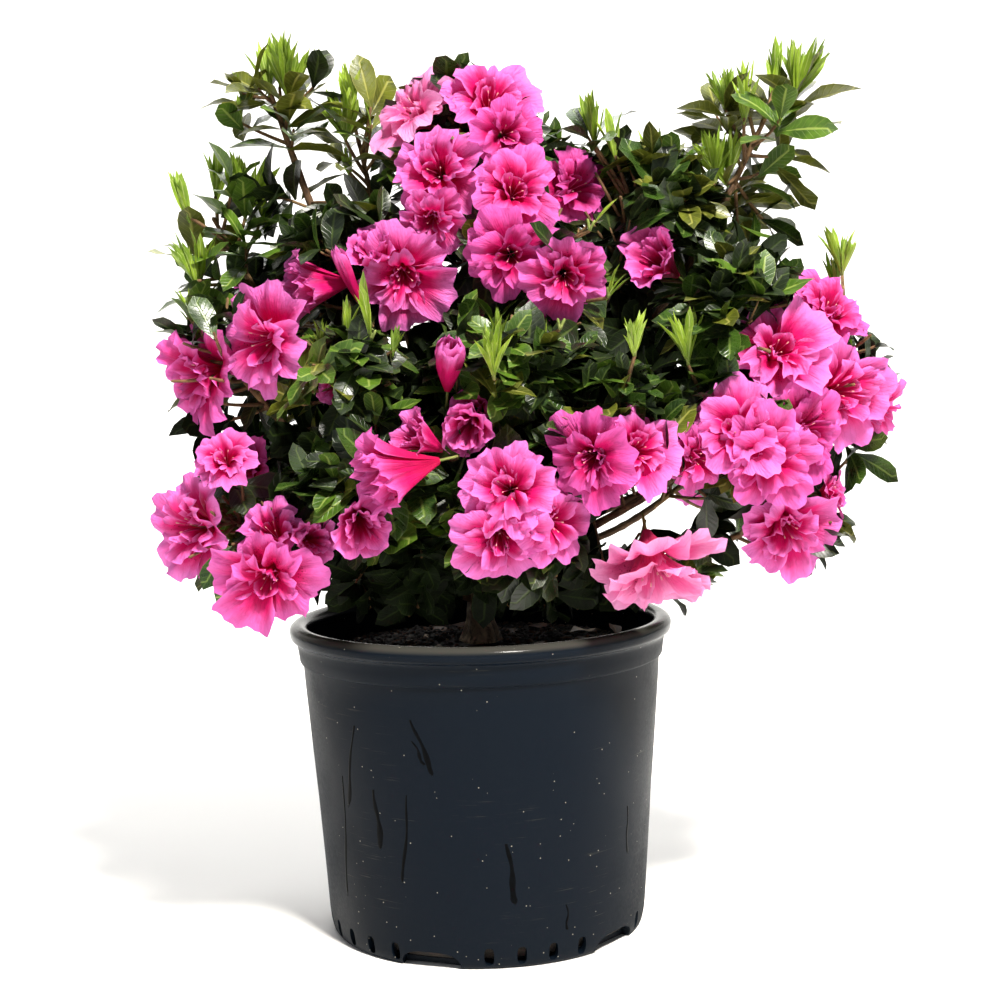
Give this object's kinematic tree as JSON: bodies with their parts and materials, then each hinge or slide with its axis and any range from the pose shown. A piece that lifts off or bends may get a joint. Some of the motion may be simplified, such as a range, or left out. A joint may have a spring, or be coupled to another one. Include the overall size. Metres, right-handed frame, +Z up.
{
  "type": "azalea shrub in nursery pot",
  "caption": "Evergreen azalea shrub in full double bloom, with a short trunk, spreading boughs and masses of leaves, growing in a round black nursery pot filled with potting mix.",
  "frame": {"origin": "centre of the pot's flat underside", "axes": "+Z up, -Y towards the shrub's front as pictured, +X to the right seen from the front"},
  "size_m": [0.5378, 0.4207, 0.6287],
  "materials": {
    "pot": "matte",
    "potting_mix": "matte",
    "bark": "matte",
    "foliage": "satin"
  },
  "bodies": {
    "root": {"pot": "pot", "potting_mix": "potting_mix", "trunk": "bark", "bough_crest": "bark", "bough_breast": "bark", "bough_left_shoulder": "bark", "bough_left_flank": "bark", "bough_left_skirt": "bark", "bough_apron_left": "bark", "bough_apron": "bark", "bough_sash": "bark", "bough_right_breast": "bark", "bough_right_skirt": "bark", "bough_drop": "bark", "bough_right_shoulder": "bark", "bough_right_bust": "bark", "bough_left_bust": "bark", "bough_heart": "bark", "bough_upper_right": "bark", "bough_left_plume": "bark", "bough_inner_plume": "bark", "bough_right_plume": "bark", "bough_left_spray": "bark", "bough_back_crest": "bark", "bough_back_left": "bark", "bough_back_right": "bark", "bough_back_heart": "bark", "bough_back_left_skirt": "bark", "bough_back_right_skirt": "bark", "bough_back_skirt": "bark", "mass_crest": "foliage", "mass_breast": "foliage", "mass_left_shoulder": "foliage", "mass_left_flank": "foliage", "mass_left_skirt": "foliage", "mass_apron_left": "foliage", "mass_apron": "foliage", "mass_sash": "foliage", "mass_right_breast": "foliage", "mass_right_skirt": "foliage", "mass_drop": "foliage", "mass_right_shoulder": "foliage", "mass_right_bust": "foliage", "mass_left_bust": "foliage", "mass_heart": "foliage", "mass_upper_right": "foliage", "mass_left_plume": "foliage", "mass_inner_plume": "foliage", "mass_right_plume": "foliage", "mass_left_spray": "foliage", "mass_back_crest": "foliage", "mass_back_left": "foliage", "mass_back_right": "foliage", "mass_back_heart": "foliage", "mass_back_left_skirt": "foliage", "mass_back_right_skirt": "foliage", "mass_back_skirt": "foliage"}
  },
  "joints": []
}
